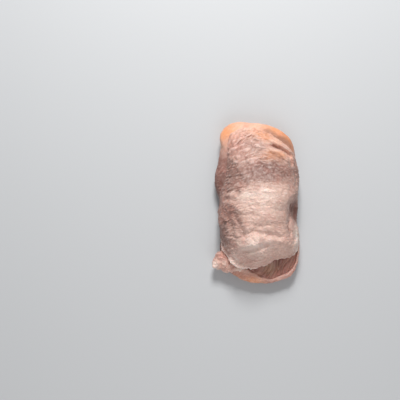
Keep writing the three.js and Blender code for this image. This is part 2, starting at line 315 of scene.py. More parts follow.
def drumstickEdgeHeight(turn):
    return drumstick["edgeHeight"] + drumstick["edgeAtFold"] * np.maximum(0, np.sin(turn))


# The thigh is rounder towards the fold, most of all at its left.
def thighSquareness(turn):
    fold, left = thigh["rounder"]
    rounder = fold * turnBump(turn, math.pi / 2, 0.6) + left * turnBump(turn, 2.35, 0.5)
    return thigh["squareness"] - rounder


def drumstickSquareness(turn):
    return drumstick["squareness"] + 0 * turn


thigh.update(reach=edgeReach(thigh["edge"]), topAt=thighTop, edgeAt=thighEdgeHeight)
thigh.update(squareAt=thighSquareness)
drumstick.update(reach=edgeReach(drumstick["edge"]), topAt=drumstickTop, edgeAt=drumstickEdgeHeight)
drumstick.update(squareAt=drumstickSquareness)


# A height that runs smoothly onto the resting plane and never goes below it.
def restOn(plane, z):
    over = z - plane
    blend = plane + (over + leg["settle"]) ** 2 / (4 * leg["settle"])
    return np.where(over <= -leg["settle"], plane, np.where(over >= leg["settle"], z, blend))


# Points of a pad. Turn goes round it and climb goes from 0 under its middle over pi/2 at its edge to
# pi on top: out = sin(climb) ^ (2/n), rise = |cos(climb)| ^ (2/n). Inset moves a point inwards,
# sideways at the edge and up or down away from it.
def padPoints(pad, turn, climb, inset=0.0):
    power = 2 / pad["squareAt"](turn)
    out = np.sin(climb) ** power
    rise = np.abs(np.cos(climb)) ** power
    reach = pad["reach"](turn)
    x = np.cos(turn) * (reach * leg["width"] / 2 - inset) * out
    y = np.sin(turn) * (reach * leg["length"] / 2 - inset) * out
    edgeZ = pad["edgeAt"](turn)
    level = inset * np.minimum(1, 3 * rise)
    lower = restOn(inset, edgeZ + (pad["underside"] - edgeZ) * rise + level)
    upper = edgeZ + (pad["topAt"](x, y) - edgeZ) * rise - level
    return np.stack([x, y, np.where(climb <= math.pi / 2, lower, upper)], axis=-1)


# Meshes over a disc: a fine grid, rings that carry on from its border, and one last point


# Maps square grid corners onto a disc: how far out each lies, and its turn.
def discCoordinates(cells):
    a, b = np.meshgrid(np.linspace(-1, 1, cells[0] + 1), np.linspace(-1, 1, cells[1] + 1))
    wide = np.abs(a) > np.abs(b)
    safeA, safeB = np.where(a == 0, 1, a), np.where(b == 0, 1, b)
    turnWide = math.pi / 4 * (b / safeA) + np.where(a < 0, math.pi, 0)
    turnTall = math.pi / 2 - math.pi / 4 * (a / safeB) + np.where(b < 0, math.pi, 0)
    return np.maximum(np.abs(a), np.abs(b)), np.where(wide, turnWide, turnTall)


# Index of each border corner of a grid, anticlockwise from above.
def borderOf(cells):
    index = np.arange((cells[0] + 1) * (cells[1] + 1)).reshape(cells[1] + 1, cells[0] + 1)
    sides = [index[0, :-1], index[:-1, -1], index[-1, :0:-1], index[:0:-1, 0]]
    return np.concatenate(sides)


# Unit normals of a grid of points, from the diagonals of the cells that meet at each.
def gridNormals(points):
    cross = np.cross(points[1:, 1:] - points[:-1, :-1], points[1:, :-1] - points[:-1, 1:])
    total = np.zeros_like(points)
    for rows, columns in product((slice(1, None), slice(None, -1)), repeat=2):
        total[rows, columns] += cross
    return total / np.maximum(np.linalg.norm(total, axis=-1, keepdims=True), 1e-12)


# One closed mesh from a grid's points, rings of border points and a last point. Facing is 1 for a
# grid that is seen from above and -1 for one seen from below.
def discMesh(name, grid, rings, lastPoint, facing, tints):
    rowsCount, columnsCount = grid.shape[:2]
    cells = (columnsCount - 1, rowsCount - 1)
    index = np.arange(rowsCount * columnsCount).reshape(rowsCount, columnsCount)
    quads = np.stack([index[:-1, :-1], index[:-1, 1:], index[1:, 1:], index[1:, :-1]], axis=-1)
    quads = [quads.reshape(-1, 4)]
    border = borderOf(cells)
    inner, start = border, rowsCount * columnsCount
    for ring in rings:
        outer = start + np.arange(len(ring))
        quads.append(np.stack([inner, outer, np.roll(outer, -1), np.roll(inner, -1)], axis=-1))
        inner, start = outer, start + len(ring)
    quads = np.concatenate(quads)
    fan = np.stack([inner, np.full(len(inner), start), np.roll(inner, -1)], axis=-1)
    if facing < 0:
        quads, fan = quads[:, ::-1], fan[:, ::-1]
    points = np.concatenate([grid.reshape(-1, 3), *rings, [lastPoint]])
    return putMesh(name, points, quads, fan, tints)


# Puts points in millimetres, four-sided and three-sided faces and named colour layers into a mesh.
def putMesh(name, points, quads, triangles, tints):
    mesh = bpy.data.meshes.new(name)
    corners = np.concatenate([quads.ravel(), triangles.ravel()]).astype(np.int32)
    sizes = np.concatenate([np.full(len(quads), 4), np.full(len(triangles), 3)])
    mesh.vertices.add(len(points))
    mesh.vertices.foreach_set("co", (points * metre).astype(np.float32).ravel())
    mesh.loops.add(len(corners))
    mesh.loops.foreach_set("vertex_index", corners)
    mesh.polygons.add(len(sizes))
    starts = np.concatenate([[0], np.cumsum(sizes)[:-1]]).astype(np.int32)
    mesh.polygons.foreach_set("loop_start", starts)
    mesh.update(calc_edges=True)
    mesh.validate()
    mesh.polygons.foreach_set("use_smooth", np.ones(len(sizes), dtype=bool))
    for layer, values in tints.items():
        colours = np.ones((len(points), 4), dtype=np.float32)
        colours[:, :3] = values
        attribute = mesh.color_attributes.new(name=layer, type="FLOAT_COLOR", domain="POINT")
        attribute.data.foreach_set("color", colours.ravel())
    piece = bpy.data.objects.new(name, mesh)
    bpy.context.scene.collection.objects.link(piece)
    return piece


# Indices of four-sided faces between rings of equally many points that close on themselves.
def ringQuads(ringCount, around):
    index = np.arange(ringCount * around).reshape(ringCount, around)
    beside = np.roll(index, -1, axis=1)
    return np.stack([index[:-1], beside[:-1], beside[1:], index[1:]], axis=-1).reshape(-1, 4)


# Skin: shape


grain = {
    "seed": 11,
    "warp": 1.2,  # how far lines wander
    "warpCell": 9.0,
    "bow": (0.008, 0.017),  # how much wrinkles bow upwards, over the middle and at the fold
    "bowCentre": 4.0,
    # cell, how drawn out across the leg (less is longer), height, which strength it follows
    "wrinkles": [
        {"cell": 3.2, "stretch": 0.33, "height": 1.1, "kind": 0},
        {"cell": 1.9, "stretch": 0.42, "height": 0.6, "kind": 1},
        {"cell": 1.2, "stretch": 0.55, "height": 0.24, "kind": 2},
    ],
    "steeper": 0.12,  # how much less they are drawn out up and down than across
    "valley": 0.07,  # roundness of a wrinkle's bottom
    "bump": 1.8,  # size of the small bumps, and how drawn out they are
    "bumpStretch": 0.72,
    "bumpHeight": 0.38,
    "fine": 0.05,
}


# Relief of the skin: wrinkles in three sizes, rounded on top with narrow valleys where drawn-out
# noise crosses zero, small rounded bumps, and a fine grain. Returns its height, how deep in a valley
# each point lies, 0 to 1, and how high on a ridge. Strengths scale long and short wrinkles and bumps.
def skinRelief(points, strengths):
    g = grain
    x, y = points[..., 0], points[..., 1]
    drift = [layeredNoise(points, g["warpCell"], g["seed"] + 3 * k, 2) for k in range(3)]
    flow = points + g["warp"] * np.stack(drift, axis=-1)
    bow = g["bow"][0] + (g["bow"][1] - g["bow"][0]) * smoothStep(12, 40, y)
    flow[..., 1] += bow * (x - g["bowCentre"]) ** 2
    height = g["fine"] * layeredNoise(points, 0.9, g["seed"] + 90, 2)
    depth, tops = np.zeros_like(x), np.zeros_like(x)
    for k, w in enumerate(g["wrinkles"]):
        drawn = flow * (w["stretch"], 1, w["stretch"] + g["steeper"])
        run = layeredNoise(drawn, w["cell"], g["seed"] + 60 + k, 2)
        rounded = np.minimum(1, (np.hypot(run, g["valley"]) - g["valley"]) / 0.5)
        strength = strengths[w["kind"]] * w["height"]
        height = height + strength * (rounded - 0.5)
        depth = depth + 0.8 * strength * bump(run, 0.11)
        tops = tops + 0.8 * strength * smoothStep(0.45, 1, rounded)
    nearest, gap = pebbles(flow * (g["bumpStretch"], 1, 0.8), g["bump"], g["seed"] + 50)
    dome = 1 - np.clip(nearest, 0, 1) ** 2
    height = height + strengths[2] * g["bumpHeight"] * (dome - 0.6)
    depth = depth + 0.3 * strengths[2] * (1 - smoothStep(0, 0.3, gap))
    tops = tops + 0.3 * strengths[2] * smoothStep(0.6, 0.95, dome)
    return height, np.clip(depth, 0, 1), np.clip(tops, 0, 1)


# A fold or crease: its centre line, its height (negative for a crease), its spread, how much deeper
# the sharp bottom of a crease goes, and over which share of its length it fades out.
def fold(line, height, spread, core=0.0, ends=0.3):
    return {"line": line, "height": height, "spread": spread, "core": core, "ends": ends}


diagonalCrease = [(-20.4, -3), (-17, -10), (-13.4, -17), (-10.6, -23.4), (-9, -28)]
folds = [
    # the raised roll along the cut end, the crease over it and the ones in it
    fold(
        [(-20, -32), (-12, -27.6), (-4, -25.4), (3, -26.4), (8, -27.6), (15, -28.4), (21, -29.4), (25, -32)],
        1.0, 3.4,
    ),
    fold(
        [(-15, -28), (-9.4, -23.8), (-3, -20.8), (2, -21.6), (7, -23.2), (14, -24.4), (21.2, -26)],
        -1.7, 2.5, core=0.2,
    ),
    fold([(-19, -34), (-11, -32), (-4, -30.8), (3, -30.4)], 2.6, 3.6, ends=0.25),
    fold([(-13, -39), (-4, -38.4), (6, -36)], 1.2, 3.0),
    fold([(-17, -36), (-10, -35.6), (-3, -34.4), (4, -32.4), (10, -30.4)], -1.2, 1.8, core=0.4),
    fold([(9, -29.6), (15, -31), (22, -33.6)], -0.9, 2.4),
    fold([(2, -40), (12, -36), (20, -35)], -0.6, 2.6),
    # the left slope: lumps between creases that run down it
    fold(diagonalCrease, -1.2, 2.4, core=0.3),
    fold([(-26, -6), (-22.6, -12), (-19.6, -20), (-18.4, -28)], -0.8, 2.2),
    fold([(-27, -18), (-23.6, -24), (-23, -32)], -0.8, 2.0),
    fold([(-21, -4.5), (-20, -6.5)], 1.6, 2.2, ends=0.01),
    fold([(-25.4, -12.6), (-24.4, -14.6)], 1.6, 2.0, ends=0.01),
    fold([(-16.6, -21), (-16, -25)], 0.9, 2.4, ends=0.01),
    fold([(-21.6, -25), (-21, -30)], 1.2, 2.2, ends=0.01),
    # cross ridges and valleys at the left over the middle
    fold([(-26, 10.4), (-18, 12.4), (-12, 12.8)], 0.9, 1.6),
    fold([(-26, 7.4), (-20, 8.4), (-13, 8.6)], -1.0, 1.4, core=0.2),
    fold([(-27, 4.4), (-21.5, 5.9), (-15, 5.3)], 0.8, 1.4),
    fold([(-27.4, 1.0), (-22, 2.6), (-15, 1.7)], -1.0, 1.4, core=0.2),
    fold([(-26, 17), (-18, 19.4), (-10, 19.6)], -0.7, 1.5, core=0.3),
    # the crease down the right side, over the tab and past the hollow
    fold(
        [(22.6, 7), (24.4, 1), (24.6, -4), (24.2, -9), (23.6, -13), (22.7, -17), (23.6, -22), (24.8, -28)],
        -2.4, 1.8, core=0.45,
    ),
    fold([(29.6, -15), (30.8, -20), (30.8, -26), (29.4, -33)], 2.0, 1.7),
    # the pinched skin at the right shoulder, from the fold's side inwards
    fold(
        [(1, 50.5), (7.4, 48.7), (11.8, 46.8), (15.6, 44.7), (20.7, 42.1), (24.5, 39.2), (26.8, 35.4)],
        3.0, 2.7,
    ),
    fold([(14, 47.2), (18, 44.8), (22.6, 41.8), (26, 38)], -1.0, 0.9, core=0.3),
    fold(
        [(5.9, 44), (10.3, 42.9), (14.1, 41.4), (18.6, 40.1), (23, 37.2), (26.8, 33.6)],
        -2.9, 1.8, core=0.2, ends=0.4,
    ),
    fold([(4.4, 41.6), (8.9, 40.3), (13.3, 38.4), (18.5, 36), (22.2, 33), (23.7, 29)], 1.7, 1.9),
    fold([(21.8, 36), (23.9, 34.2), (25.4, 31.2), (26.3, 27)], -1.8, 1.4, core=0.2),
    fold([(25.8, 35.4), (27.4, 32), (27.9, 28)], 1.2, 1.2),
    fold([(27.6, 36), (29.4, 32), (30.2, 27)], -1.5, 1.0, core=0.3),
    fold([(7, 36.6), (13, 34.4), (18, 32), (21, 28)], -0.8, 1.5, core=0.1),
    fold([(28, 26), (29.4, 18), (28.6, 10)], -0.9, 1.2, core=0.3),
    # wrinkles that arch over the upper left
    fold([(-19.6, 46), (-14, 49), (-6, 50.2), (2, 48.8), (9, 46)], -0.8, 1.2, core=0.2),
    fold([(-17, 43.8), (-10, 46.8), (-3, 47), (4, 44.9)], -0.7, 1.1, core=0.2),
    fold([(-22, 38), (-18.6, 42.6), (-13, 44.6), (-7, 44.2)], -0.7, 1.2, core=0.2),
    fold([(-22.4, 33), (-18, 37.6), (-12, 40.6), (-4, 41)], -0.7, 1.2, core=0.2),
    fold([(-15, 52.4), (-7, 54), (2, 53.4)], -0.6, 1.1, core=0.2),
    # shallow ones across the middle
    fold([(-11.5, 8), (-0.7, 8.9), (9.6, 8.4), (18.7, 6.6)], 0.7, 2.0),
    fold([(-19, -7), (-9, -8.8), (2.2, -9.6)], -0.9, 1.9, core=0.3),
    fold([(5, -3), (12.6, -5.4), (19.5, -5.6)], -0.8, 2.2, core=0.2),
    fold([(-7, -15), (2.2, -16.6), (13, -14.4)], -0.7, 2.0, core=0.2),
]


# Sum of the folds at points seen from above, each a bump of the distance to its line; a crease has a
# narrow core besides. Also returns how deep in a crease each point lies, 0 to 1.
def foldRelief(x, y):
    points = np.stack([x, y, np.zeros_like(x)], axis=-1)
    x = x + 1.1 * layeredNoise(points, 7, 301, 3)
    y = y + 1.1 * layeredNoise(points, 7, 302, 3)
    height, depth = np.zeros_like(x), np.zeros_like(x)
    for f in folds:
        away, along = lineDistance(x, y, f["line"])
        high = f["height"] * smoothStep(0, f["ends"], along) * smoothStep(1, 1 - 0.6 * f["ends"], along)
        core = bump(away, 0.4 * f["spread"])
        height += high * (bump(away, f["spread"]) + f["core"] * core)
        depth = np.maximum(depth, np.minimum(1, -high * f["core"]) * core)
    return height, depth


# Carries a skin round its free edge and back up its inner side: rings of points at growing insets.
# Shift is how far the skin's relief moved its edge.
def lipRings(pad, turn, stop, shift, s):
    rings = []
    for inset, back, keep in s["lip"]:
        climb = stop + s["inward"] * back * s["climbPerMm"]
        rings.append(padPoints(pad, turn, climb, inset) + keep * shift)
    return rings


# Inset, way back from the edge in millimetres, and how much of the outer side's relief is kept.
thinLip = [
    (0.10, -0.20, 1), (0.34, -0.34, 1), (0.66, -0.32, 1), (0.95, -0.12, 1), (1.12, 0.4, 1),
    (1.3, 1.4, 0.6), (1.7, 3.2, 0.05), (2.2, 6, 0), (2.4, 10, 0),
]
rimLip = [
    (0.10, -0.20, 1), (0.34, -0.34, 1), (0.66, -0.32, 1), (1.0, -0.12, 1), (1.7, 0.4, 1),
    (2.6, 1.4, 0.6), (3.3, 3.2, 0.05), (3.5, 6, 0), (3.6, 10, 0),
]
thighSkin = {
    "cells": (250, 340),
    "spacing": 1.25,  # spreads the grid evenly over the crown
    "stopSide": 0.40,
    "stopCutEnd": 0.105,
    "ragged": 1.0,
    "flare": 2.6,  # how far the free edge waves in and out
    "lift": 1.0,  # how much of that is outwards and up all along
    "edgeTint": 1.0,
    "climbPerMm": 0.043,
    "inward": 1,
    "lip": thinLip,
    "lumps": [(17, 0.9), (7.5, 0.5)],
}
drumstickSkin = {
    "cells": (210, 290),
    "spacing": 1.2,
    "flare": 0.7,
    "lift": 0.0,
    "edgeTint": 0.15,
    "climbPerMm": 0.08,
    "inward": -1,
    "lip": rimLip,
    "lumps": [(19, 0.9), (8, 0.35)],
}


# Share of the cut end: 1 round it, falling to 0 at the sides.
def atCutEnd(turn):
    return smoothStep(0.2, 0.75, -np.sin(turn))


# Points on a circle, for noise that runs round an edge.
def circle(turn, radius):
    return np.stack([np.cos(turn), np.sin(turn), 0 * turn], axis=-1) * radius


# How far round the pad the thigh's skin comes, in radians of climb: it hangs free at the cut end,
# with a ragged edge, and tucks in at the other sides.
def thighSkinStop(turn):
    cutEnd, ring = atCutEnd(turn), circle(turn, 40)
    ragged = 1.5 * layeredNoise(ring, 9, 401, 3) + 1.0 * layeredNoise(ring, 3.6, 402, 3)
    s = thighSkin
    climb = math.pi * (s["stopSide"] + s["stopCutEnd"] * cutEnd)
    return climb + s["ragged"] * s["climbPerMm"] * ragged * cutEnd


# How far up the drumstick's skin comes: just past its edge round the cut end and the right side, over
# the end in a lobe of fat at the left of the cut end, and well under the thigh elsewhere.
def drumstickSkinStop(turn):
    fold = 0.27 * smoothStep(0.15, 0.6, np.sin(turn))
    left = 0.27 * smoothStep(-0.2, 0.5, -np.cos(turn) + 0.35 * np.sin(turn))
    lobe = 0.115 * turnBump(turn, -1.86, 0.5) + 0.1 * turnBump(turn, -2.5, 0.4)
    lobe = np.maximum(lobe, 0.035 * turnBump(turn, -0.95, 0.3))
    lobe = lobe + 0.13 * turnBump(turn, -0.12, 0.28)
    ragged = 0.9 * layeredNoise(circle(turn, 45), 10, 411, 3)
    return math.pi * (0.565 + np.maximum(np.maximum(fold, left), lobe)) + 0.05 * ragged


def lumpRelief(points, lumps, seed):
    return sum(high * layeredNoise(points, cell, seed + 9 * k, 2) for k, (cell, high) in enumerate(lumps))


# A half's skin: its pad between the middle and the skin's stop, moved up by the folds and along its
# normals by lumps and grain, then carried round its free edge.
def makeSkin(name, pad, s, stopAt, folding, strengths, toneAt, seed):
    out, turn = discCoordinates(s["cells"])
    stop = stopAt(turn)
    middle = math.pi if s["inward"] > 0 else 0.0
    climb = middle + (stop - middle) * out ** s["spacing"]
    base = padPoints(pad, turn, climb)
    creaseDepth = np.zeros_like(out)
    shaped = base.copy()
    brim = turnBump(turn, -2.2, 0.35)  # where the free edge turns out most
    nearEdge = atCutEnd(turn) * smoothStep(0.925 - 0.06 * brim, 1.0, out)
    turnedOut = s["lift"] * (0.45 + 0.75 * turnBump(turn, -2.05, 0.4) + 0.4 * turnBump(turn, -0.72, 0.2))
    waves = 0.5 * layeredNoise(circle(turn, 45), 4.5, seed + 5, 3)
    flare = s["flare"] * (waves + turnedOut) * nearEdge
    shaped[..., 0] += np.cos(turn) * flare
    shaped[..., 1] += np.sin(turn) * flare
    shaped[..., 2] += (0.5 + 0.5 * brim) * flare
    if folding:
        rise = smoothStep(0, 0.45, np.where(climb > math.pi / 2, np.abs(np.cos(climb)), 0))
        height, creaseDepth = foldRelief(base[..., 0], base[..., 1])
        shaped[..., 2] += height * rise
        creaseDepth = creaseDepth * rise
    facing = 1 if s["inward"] > 0 else -1
    normals = facing * gridNormals(shaped)
    lumpy = 1 + 0.6 * spot(shaped[..., 0], shaped[..., 1], (-24, -14), (10, 22)) * folding
    shaped += normals * (lumpy * lumpRelief(shaped, s["lumps"], seed))[..., None]
    normals = facing * gridNormals(shaped)
    height, depth, tops = skinRelief(shaped, strengths(shaped))
    edge = smoothStep(0.90, 1.0, out)
    shaped += normals * (height * (1 - 0.6 * edge))[..., None]
    shaped[..., 2] = np.where(climb < math.pi / 2, restOn(0, shaped[..., 2]), shaped[..., 2])
    border = borderOf(s["cells"])
    shift = (shaped - base).reshape(-1, 3)[border]
    rings = lipRings(pad, turn.ravel()[border], stop.ravel()[border], shift, s)
    lastPoint = np.mean(rings[-1], axis=0)
    hiddenCount = sum(len(ring) for ring in rings) + 1
    tones, redAndShade = toneAt(shaped)
    # a paler free edge, widest at the turned-out brim, where it is painted light
    paleAndLitEdge = s["edgeTint"] * smoothStep(0.965 - 0.06 * turnBump(turn, -2.15, 0.45), 1.0, out)
    # details: painted shade in valleys and creases, paler ridge tops that are partly a painted highlight,
    # and the pale edge
    details = stackTones(np.maximum(depth, creaseDepth), tops, paleAndLitEdge)
    lipDetails = np.tile((0.15, 0.2, s["edgeTint"]), (hiddenCount, 1))
    tints = {"details": np.concatenate([details, lipDetails])}
    for layer, values in (("tones", tones), ("redAndShade", redAndShade)):
        lip = np.concatenate([values[border]] * len(rings) + [values[border[:1]]])
        tints[layer] = np.concatenate([values, lip])
    return discMesh(name, shaped, rings, lastPoint, facing, tints)


# Strength of the long and the short wrinkles and the small bumps over the thigh: strongest on the
# upper left and on the left, weak on the roll.
def thighStrengths(points):
    x, y, z = points[..., 0], points[..., 1], points[..., 2]
    patchy = 0.3 * layeredNoise(points, 11, 551, 2)
    upper = spot(x, y, (-10, 40), (24, 14))
    roll = spot(x, y, (6, -33), (24, 9))
    shoulder = spot(x, y, (15, 42), (13, 7))
    long = 0.2 + 1.1 * upper - 0.1 * roll + 0.5 * patchy + 0.22 * spot(x, y, (-22, 12), (12, 14))
    long = long + 0.15 * spot(x, y, (4, 8), (24, 8)) + 0.15 * spot(x, y, (-22, -20), (9, 16))
    long = long * (1 - 0.45 * smoothStep(4, 14, x)) * (1 - 0.7 * shoulder)
    short = 0.75 + patchy + 0.25 * upper - 0.25 * spot(x, y, (12, -8), (16, 12)) - 0.4 * roll
    short = short * (1 - 0.5 * shoulder)
    bumps = 0.95 + 0.6 * patchy - 0.15 * roll - 0.4 * shoulder
    thick = spot(x, y, (5, -7), (19, 17))
    recess = spot(x, y, (29, -5), (5, 10))
    short = short * (1 - 0.5 * thick - 0.6 * recess)
    bumps = bumps * (1 - 0.05 * thick - 0.7 * recess)
    return long * smoothStep(12, 24, z), short, bumps


def drumstickStrengths(points):
    fat = smoothStep(34, 46, points[..., 1])
    recess = spot(points[..., 0], points[..., 1], (30, -6), (8, 11))
    return 0.25 - 0.1 * fat, 0.6 - 0.3 * fat - 0.3 * recess, 0.75 - 0.35 * fat - 0.5 * recess


# Wanders a point seen from above, so that the border of a tone is never a clean curve.
def wander(points, seed):
    drift = [points[..., k] + 4 * layeredNoise(points, 12, seed + k, 3) for k in range(2)]
    return drift[0], drift[1], points[..., 2]


# Spots of each tone: how strong, where its middle lies, and its two half sizes. The tones are orange
# where fat shows through, mauve where the skin is thin over meat and also painted shade on shaded
# slopes, cream where it is thick and also painted light on shaded faces, brown that is painted shade
# in hollows, creases and under folds, and red.
thighSpots = {
    "orange": [
        (0.5, (19, 33.6), (5, 3)), (0.55, (2, 54), (20, 6)), (0.5, (5, 51.5), (7, 3)),
        (0.45, (14, 46), (10, 4)), (0.35, (-22, 49), (5, 6)), (0.35, (27, 38), (5, 6)),
    ],
    # mauve on the left, partly painted shade on the left slopes
    "mauveAndShadeLeft": [(-0.18, (-17, 11), (8, 5)), (0.9, (-28, -16), (11, 30)), (0.35, (-25, 24), (9, 13))],
    # mauve; on the right side and on the slope down to the right crease it is painted shade
    "mauveAndShade": [
        (0.25, (-4, 35), (13, 5)), (0.4, (11, 31), (4, 4)), (0.3, (7, 24), (7, 5)),
        (0.6, (33, 2), (7, 24)), (0.6, (-2, 42), (13, 6)), (0.5, (19, -8), (8, 13)),
        (0.25, (2, -13), (18, 7)), (0.15, (6, -26), (10, 4)), (0.12, (-4, -42), (18, 4)),
        (0.4, (29.4, 33), (3.4, 9)),
    ],
    # cream; the spots on the roll's face and on the turned-out brim at its left are painted light
    "creamAndLight": [
        (0.2, (4, -2), (16, 7)), (0.15, (-2, -27), (14, 8)), (0.2, (-2, 54), (16, 4)),
        (1.1, (31, -26), (3.2, 11)), (0.4, (2, -34), (22, 9)), (0.8, (-6, -32), (9, 6)),
        (0.9, (-19, -41), (7, 6)), (0.1, (3, -8), (14, 8)), (0.15, (14, -2), (8, 6)),
        (0.5, (10, 47), (6, 3)), (0.6, (13, 38.6), (5, 1.8)),
    ],
    # brown: painted shade in the hollow at the right, in the shoulder's creases and in the mauve band
    "brownShade": [
        (1.1, (28.6, -5), (4, 10.5)), (0.45, (8, 34.4), (7, 2.6)), (0.4, (29.4, 33), (2.4, 6)),
        (0.12, (6, 52.6), (8, 2.6)), (0.35, (12, 42), (6, 1.6)), (0.15, (21, 39), (5, 2)),
        (0.6, (6, 24.6), (12, 7)),
    ],
    "red": [
        (0.55, (-17, 43), (9, 11)), (0.25, (-25, -6), (8, 10)), (0.3, (-17, -38), (9, 7)),
        (0.24, (4, -36), (24, 11)), (0.4, (13, 42), (6, 2)),
    ],
}
drumstickSpots = {
    "orange": [(0.9, (-6, -58), (13, 6)), (0.3, (26, 44), (7, 8))],
    "mauveAndShade": [(0.3, (34, -34), (4, 10))],
    "creamAndLight": [(0.2, (-4, 60), (14, 6)), (0.4, (27, -51), (8, 8))],
    # brown: painted shade in the hollow at the right, on the shaded right of the fold and at the cut end
    "brownShade": [(1.1, (30, -6), (8, 11)), (0.3, (26, 44), (8, 7)), (0.35, (10, -58), (5, 4))],
    "red": [
        (0.5, (-2, -53.5), (14, 3)), (0.5, (10, -58), (6, 4)), (0.35, (-16, -54), (6, 6)),
        (0.75, (28, -48), (9, 15)), (0.35, (17, -56), (8, 5)),
    ],
}


# Sum of the spots of each tone.
def spotSums(x, y, spots):
    return {
        tone: sum(strength * spot(x, y, at, half) for strength, at, half in listed)
        for tone, listed in spots.items()
    }


# Tones of the thigh's skin, each 0 to 1: its spots, a mauve band across the leg that is partly painted
# shade, a cream one below that, mauve painted shade along the diagonal crease, and no mauve at the patch
# of fat and at the turned-out brim, where the brown painted shade on the lower left is taken out too.
def thighTones(points):
    x, y, z = wander(points, 501)
    sums = spotSums(x, y, thighSpots)
    streaky = y + 3 * layeredNoise(points * (0.25, 1, 1), 4, 531, 3)
    patch = spot(x, y, (9, 35), (9, 3.4))
    brim = spot(x, y, (-18, -41), (8, 8))
    # the diagonal crease, along which mauve paints shade
    diagonal, _ = lineDistance(x, y, [(-20.6, -4), (-17.6, -11), (-14.2, -18), (-11.6, -24), (-10.6, -28)])
    lower = streaky + 0.005 * np.minimum(x - 4, 0) ** 2 - 0.17 * np.maximum(x - 2, 0)
    band = smoothStep(5, 20, lower) * smoothStep(37, 25, y + 0.004 * (x - 4) ** 2)
    mauveAndShade = band * (1.05 + 0.1 * smoothStep(-4, 14, x) - 0.2 * spot(x, y, (-13, 20), (8, 7)))
    mauveAndShade = (mauveAndShade + sums["mauveAndShadeLeft"]) * (1 - 0.4 * smoothStep(22, 30, x)) + sums["mauveAndShade"]
    mauveAndShade = (mauveAndShade * (1 - 0.6 * patch) + 0.45 * bump(diagonal, 3.0)) * (1 - 0.9 * brim)
    creamAndLight = 0.75 * spot(x, streaky, (-2, 6), (15, 3.4)) + sums["creamAndLight"]
    # brown: painted shade on the lower left slope, less at the brim, and in the listed spots
    brownShade = 0.55 * spot(x, y, (-28, -28), (8, 12)) * (1 - brim) + sums["brownShade"]
    tones = stackTones(0.95 * patch + sums["orange"], mauveAndShade, creamAndLight)
    return tones, stackTones(brownShade, sums["red"], 0 * z)


# Tones of the drumstick's skin: its spots, orange at the fold with brown painted shadow in the valley
# beside the thigh's edge, and down the left side mauve that is partly painted shade and brown painted shade.
def drumstickTones(points):
    x, y, z = wander(points, 511)
    sums = spotSums(x, y, drumstickSpots)
    atFold, leftSide = smoothStep(35, 52, y), smoothStep(-14, -24, x)
    # the valley beside the thigh's edge, where brown paints its shadow
    valley, _ = lineDistance(x, y, [(4, 54.5), (12, 51), (19, 46), (24, 41), (27, 36)])
    valleyWidth = 2 + 2 * smoothStep(11, 21, x)
    orange = atFold * (0.5 + 0.6 * spot(x, y, (-24, 50), (9, 9)) + 0.5 * smoothStep(2, 14, x))
    # mauve down the left side, partly painted shade, and on the low parts
    mauveAndShade = smoothStep(44, 32, y) * leftSide + 0.6 * smoothStep(10, 2, z) * smoothStep(46, 30, y)
    # brown: painted shadow of the thigh's edge in the valley, and painted shade down the left side
    brownShade = 0.8 * atFold * smoothStep(0, 12, x) * bump(valley, valleyWidth)
    brownShade = brownShade + 0.9 * smoothStep(40, 20, y) * leftSide + sums["brownShade"]
    red = 0.25 * smoothStep(50, 36, y) * smoothStep(-16, -26, x) + sums["red"]
    tones = stackTones(orange + sums["orange"], mauveAndShade + sums["mauveAndShade"], sums["creamAndLight"])
    return tones, stackTones(brownShade, red, 0 * z)


def stackTones(first, second, third):
    return np.clip(np.stack([first, second, third], axis=-1), 0, 1).reshape(-1, 3)


# Corner of loose skin at the cut end's left: a flattened bag, crumpled by ridged noise.
corner = {
    "around": 200,
    "rings": 110,
    "centre": (-20.4, -44.6, 9.0),
    "half": (12.8, 7.8, 5.8),
    "turn": -8,  # degrees
    "crumple": 1.4,
    "crumpleCell": 5.2,
    "bulb": (-0.85, -0.5, 0.1),  # which way its end and its flap swell, and how far
    "flap": (-0.3, 0.8, 0.5),
    "swell": 1.8,
}


